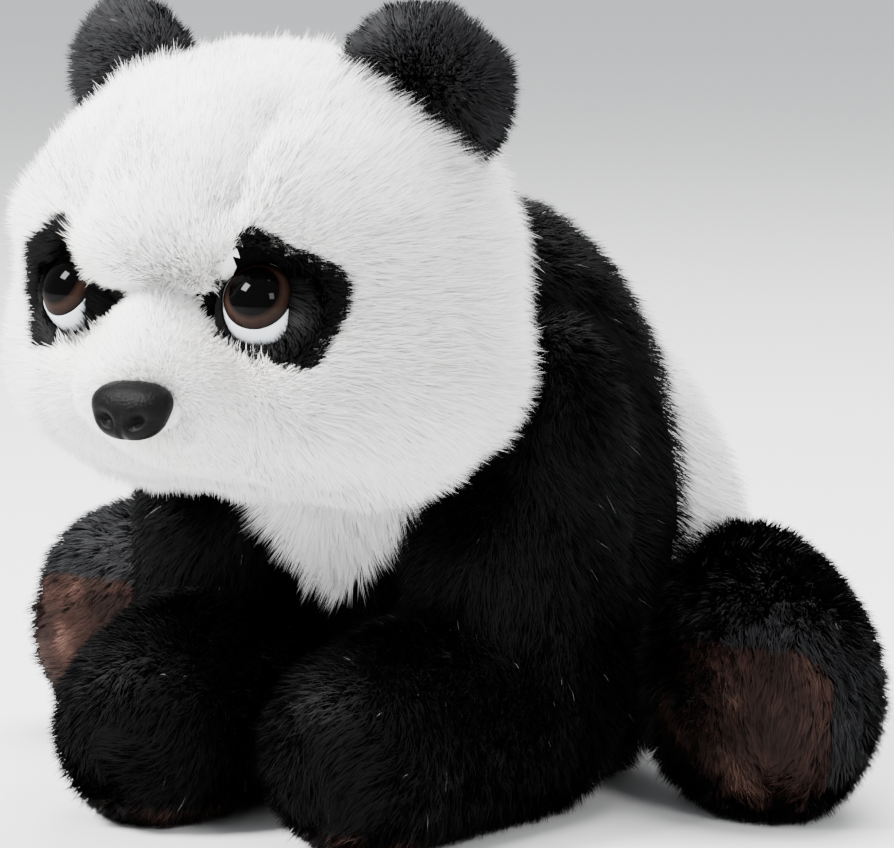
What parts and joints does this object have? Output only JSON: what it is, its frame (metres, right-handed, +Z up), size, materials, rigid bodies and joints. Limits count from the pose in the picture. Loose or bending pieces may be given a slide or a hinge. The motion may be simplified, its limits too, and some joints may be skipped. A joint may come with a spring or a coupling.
{
  "type": "plush panda",
  "caption": "Seated plush panda cub of sewn black and white fur panels over stuffing, with safety eyes, moulded nose, soft-jointed head, ears, limbs and tail.",
  "frame": {"origin": "centre of the flat seat that the panda sits on", "axes": "+Z up, the panda faces -Y, its left side is +X"},
  "size_m": [0.254, 0.2396, 0.2082],
  "materials": {
    "white_plush": "matte",
    "black_plush": "matte",
    "brown_plush": "matte",
    "stuffing": "matte",
    "bead_pouch": "matte",
    "washer": "matte",
    "nose": "satin",
    "eye_white": "gloss",
    "iris": "gloss"
  },
  "bodies": {
    "torso": {"seat_panel": "white_plush", "bib_panel": "white_plush", "yoke_panel": "black_plush", "rump_panel": "white_plush", "torso_stuffing": "stuffing", "bead_pouch": "bead_pouch"},
    "tail": {"tail": "white_plush"},
    "neck": {"neck_stuffing": "stuffing"},
    "head": {"forehead_gusset": "white_plush", "muzzle_panel": "white_plush", "left_cheek_panel": "white_plush", "right_cheek_panel": "white_plush", "head_back_panel": "white_plush", "left_eye_patch": "black_plush", "right_eye_patch": "black_plush", "head_stuffing": "stuffing", "left_eyeball": "eye_white", "right_eyeball": "eye_white", "left_iris": "iris", "right_iris": "iris", "left_eye_washer": "washer", "right_eye_washer": "washer", "nose": "nose", "nose_washer": "washer"},
    "left_ear": {"left_ear_front": "black_plush", "left_ear_back": "black_plush"},
    "left_arm": {"left_arm_skin": "black_plush", "left_paw_pad": "brown_plush", "left_arm_stuffing": "stuffing"},
    "left_leg": {"left_leg_skin": "black_plush", "left_sole": "brown_plush", "left_leg_stuffing": "stuffing"},
    "right_ear": {"right_ear_front": "black_plush", "right_ear_back": "black_plush"},
    "right_arm": {"right_arm_skin": "black_plush", "right_paw_pad": "brown_plush", "right_arm_stuffing": "stuffing"},
    "right_leg": {"right_leg_skin": "black_plush", "right_sole": "brown_plush", "right_leg_stuffing": "stuffing"}
  },
  "joints": [
    {"name": "neck_turn", "type": "hinge", "parent": "torso", "child": "neck", "pos_m": [0, -0.056, 0.116], "axis": [0, 0, 1], "range_deg": [-12, 12], "stiffness_Nm_per_rad": 0.8},
    {"name": "head_nod", "type": "hinge", "parent": "neck", "child": "head", "pos_m": [0, -0.056, 0.116], "axis": [1, 0, 0], "range_deg": [-7, 7], "stiffness_Nm_per_rad": 1.2},
    {"name": "tail_lift", "type": "hinge", "parent": "torso", "child": "tail", "pos_m": [0, 0.058, 0.047], "axis": [1, 0, 0], "range_deg": [0, 25], "stiffness_Nm_per_rad": 0.02},
    {"name": "left_shoulder", "type": "hinge", "parent": "torso", "child": "left_arm", "pos_m": [0.042, -0.05, 0.098], "axis": [-1, 0, 0], "range_deg": [-4, 16], "stiffness_Nm_per_rad": 0.5},
    {"name": "left_hip", "type": "hinge", "parent": "torso", "child": "left_leg", "pos_m": [0.066, 0.004, 0.038], "axis": [-1, 0, 0], "range_deg": [-5, 25], "stiffness_Nm_per_rad": 0.5},
    {"name": "left_ear_fold", "type": "hinge", "parent": "head", "child": "left_ear", "pos_m": [0.03664, -0.097, 0.181], "axis": [0.7286, 0.309, -0.6113], "range_deg": [-20, 20], "stiffness_Nm_per_rad": 0.02},
    {"name": "right_shoulder", "type": "hinge", "parent": "torso", "child": "right_arm", "pos_m": [-0.042, -0.05, 0.098], "axis": [-1, 0, 0], "range_deg": [-4, 16], "stiffness_Nm_per_rad": 0.5},
    {"name": "right_hip", "type": "hinge", "parent": "torso", "child": "right_leg", "pos_m": [-0.066, 0.004, 0.038], "axis": [-1, 0, 0], "range_deg": [-5, 25], "stiffness_Nm_per_rad": 0.5},
    {"name": "right_ear_fold", "type": "hinge", "parent": "head", "child": "right_ear", "pos_m": [-0.03664, -0.097, 0.181], "axis": [0.7286, -0.309, 0.6113], "range_deg": [-20, 20], "stiffness_Nm_per_rad": 0.02}
  ]
}
